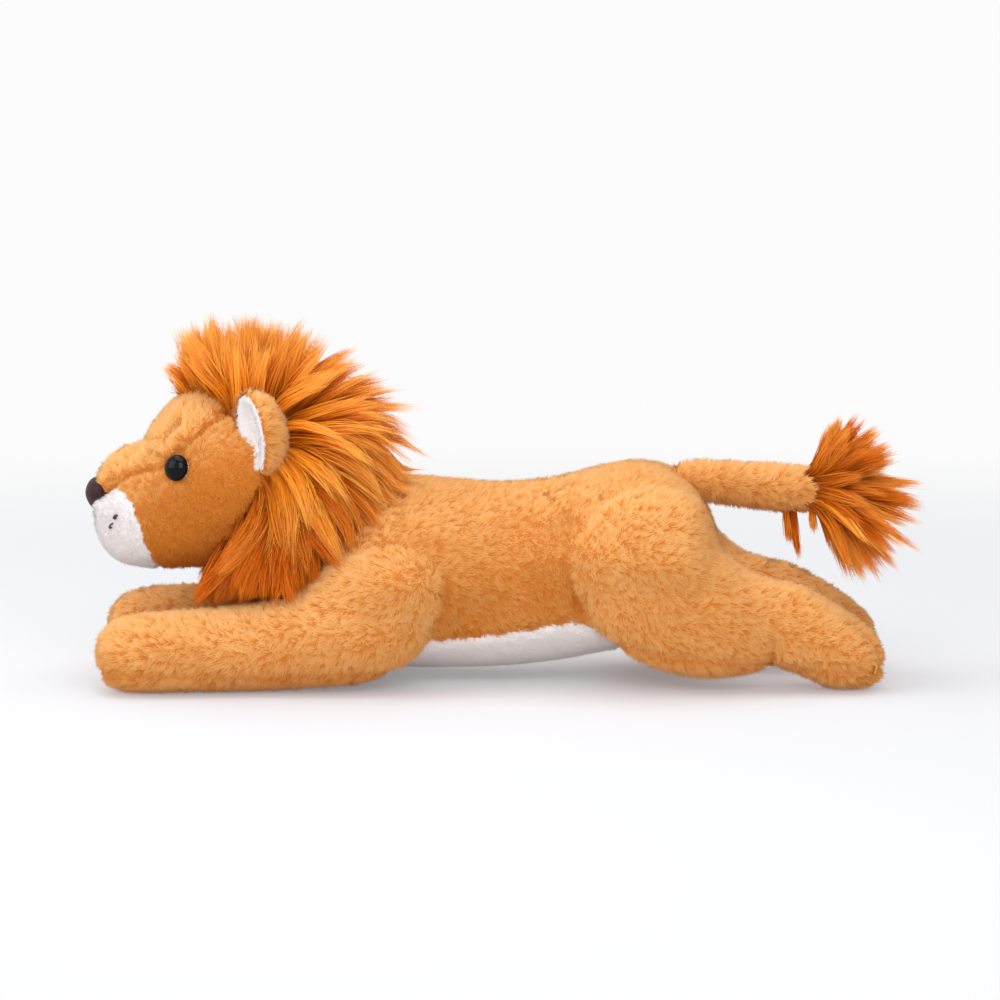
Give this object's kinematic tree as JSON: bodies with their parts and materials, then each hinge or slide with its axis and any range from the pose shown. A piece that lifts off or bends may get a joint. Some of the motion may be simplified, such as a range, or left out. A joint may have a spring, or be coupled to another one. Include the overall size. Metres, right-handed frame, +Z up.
{
  "type": "plush lion",
  "caption": "Stuffed toy lion lying on its belly, with a long-pile mane, cupped ears, outstretched legs and a tufted tail.",
  "frame": {"origin": "on the ground, under the middle of the object's box", "axes": "+Z up; +X from the nose towards the tail; -Y towards the lion's own left side"},
  "size_m": [0.3991, 0.1358, 0.1719],
  "materials": {
    "tan_plush": "short golden tan plush, laid pile",
    "white_plush": "short soft white plush",
    "long_pile": "long burnt orange pile in locks",
    "brown_velour": "smooth dark brown velour",
    "black_plastic": "moulded, polished",
    "natural_plastic": "moulded, undyed",
    "dark_thread": "stitched thread",
    "tan_thread": "stitched thread",
    "fibre": "loose polyester fibre"
  },
  "bodies": {
    "torso": {"side_panel_left": "tan_plush", "side_panel_right": "tan_plush", "belly_panel": "white_plush", "torso_filling": "fibre"},
    "neck": {"neck_filling": "fibre"},
    "head": {"head_gusset": "tan_plush", "muzzle_panel": "white_plush", "cheek_panel_left": "tan_plush", "cheek_panel_right": "tan_plush", "head_filling": "fibre", "nose": "brown_velour", "eye_left": "black_plastic", "eye_right": "black_plastic", "eye_washer_left": "natural_plastic", "eye_washer_right": "natural_plastic", "whisker_knot_left_1": "dark_thread", "whisker_knot_left_2": "dark_thread", "whisker_knot_right_1": "dark_thread", "whisker_knot_right_2": "dark_thread", "mane": "long_pile"},
    "ear_left": {"ear_left_back": "tan_plush", "ear_left_lining": "white_plush"},
    "foreleg_left": {"foreleg_left_upper_panel": "tan_plush", "foreleg_left_under_panel": "tan_plush", "foreleg_left_filling": "fibre"},
    "hindleg_left": {"hindleg_left_outer_panel": "tan_plush", "hindleg_left_inner_panel": "tan_plush", "hindleg_left_filling": "fibre", "hindleg_left_toe_thread_1": "tan_thread", "hindleg_left_toe_thread_2": "tan_thread"},
    "ear_right": {"ear_right_back": "tan_plush", "ear_right_lining": "white_plush"},
    "foreleg_right": {"foreleg_right_upper_panel": "tan_plush", "foreleg_right_under_panel": "tan_plush", "foreleg_right_filling": "fibre"},
    "hindleg_right": {"hindleg_right_outer_panel": "tan_plush", "hindleg_right_inner_panel": "tan_plush", "hindleg_right_filling": "fibre", "hindleg_right_toe_thread_1": "tan_thread", "hindleg_right_toe_thread_2": "tan_thread"},
    "tail_root": {"tail_root": "tan_plush"},
    "tail": {"tail_sleeve": "tan_plush", "tail_filling": "fibre", "tail_tuft": "long_pile"}
  },
  "joints": [
    {"name": "neck_turn", "type": "hinge", "parent": "torso", "child": "neck", "pos_m": [-0.086, 0, 0.082], "axis": [0, 0, 1], "range_deg": [-10, 10], "stiffness_Nm_per_rad": 0.5},
    {"name": "head_nod", "type": "hinge", "parent": "neck", "child": "head", "pos_m": [-0.086, 0, 0.082], "axis": [0, 1, 0], "range_deg": [-5, 8], "stiffness_Nm_per_rad": 0.7},
    {"name": "ear_left_fold", "type": "hinge", "parent": "head", "child": "ear_left", "pos_m": [-0.11627, -0.03815, 0.1224], "axis": [0, 0, 1], "range_deg": [-15, 15], "stiffness_Nm_per_rad": 0.02},
    {"name": "ear_right_fold", "type": "hinge", "parent": "head", "child": "ear_right", "pos_m": [-0.11627, 0.03815, 0.1224], "axis": [0, 0, 1], "range_deg": [-15, 15], "stiffness_Nm_per_rad": 0.02},
    {"name": "foreleg_left_swing", "type": "hinge", "parent": "torso", "child": "foreleg_left", "pos_m": [-0.062, -0.038, 0.038], "axis": [0, 1, 0], "range_deg": [-25, 3], "stiffness_Nm_per_rad": 1.5},
    {"name": "foreleg_right_swing", "type": "hinge", "parent": "torso", "child": "foreleg_right", "pos_m": [-0.062, 0.038, 0.038], "axis": [0, 1, 0], "range_deg": [-25, 3], "stiffness_Nm_per_rad": 1.5},
    {"name": "hindleg_left_swing", "type": "hinge", "parent": "torso", "child": "hindleg_left", "pos_m": [0.068, -0.036, 0.05], "axis": [0, -1, 0], "range_deg": [-20, 2], "stiffness_Nm_per_rad": 1.5},
    {"name": "hindleg_right_swing", "type": "hinge", "parent": "torso", "child": "hindleg_right", "pos_m": [0.068, 0.036, 0.05], "axis": [0, -1, 0], "range_deg": [-20, 2], "stiffness_Nm_per_rad": 1.5},
    {"name": "tail_lift", "type": "hinge", "parent": "torso", "child": "tail_root", "pos_m": [0.082, 0, 0.0935], "axis": [0, -1, 0], "range_deg": [-3, 30], "stiffness_Nm_per_rad": 0.12},
    {"name": "tail_swing", "type": "hinge", "parent": "tail_root", "child": "tail", "pos_m": [0.082, 0, 0.0935], "axis": [0, 0, 1], "range_deg": [-20, 20], "stiffness_Nm_per_rad": 0.12}
  ]
}
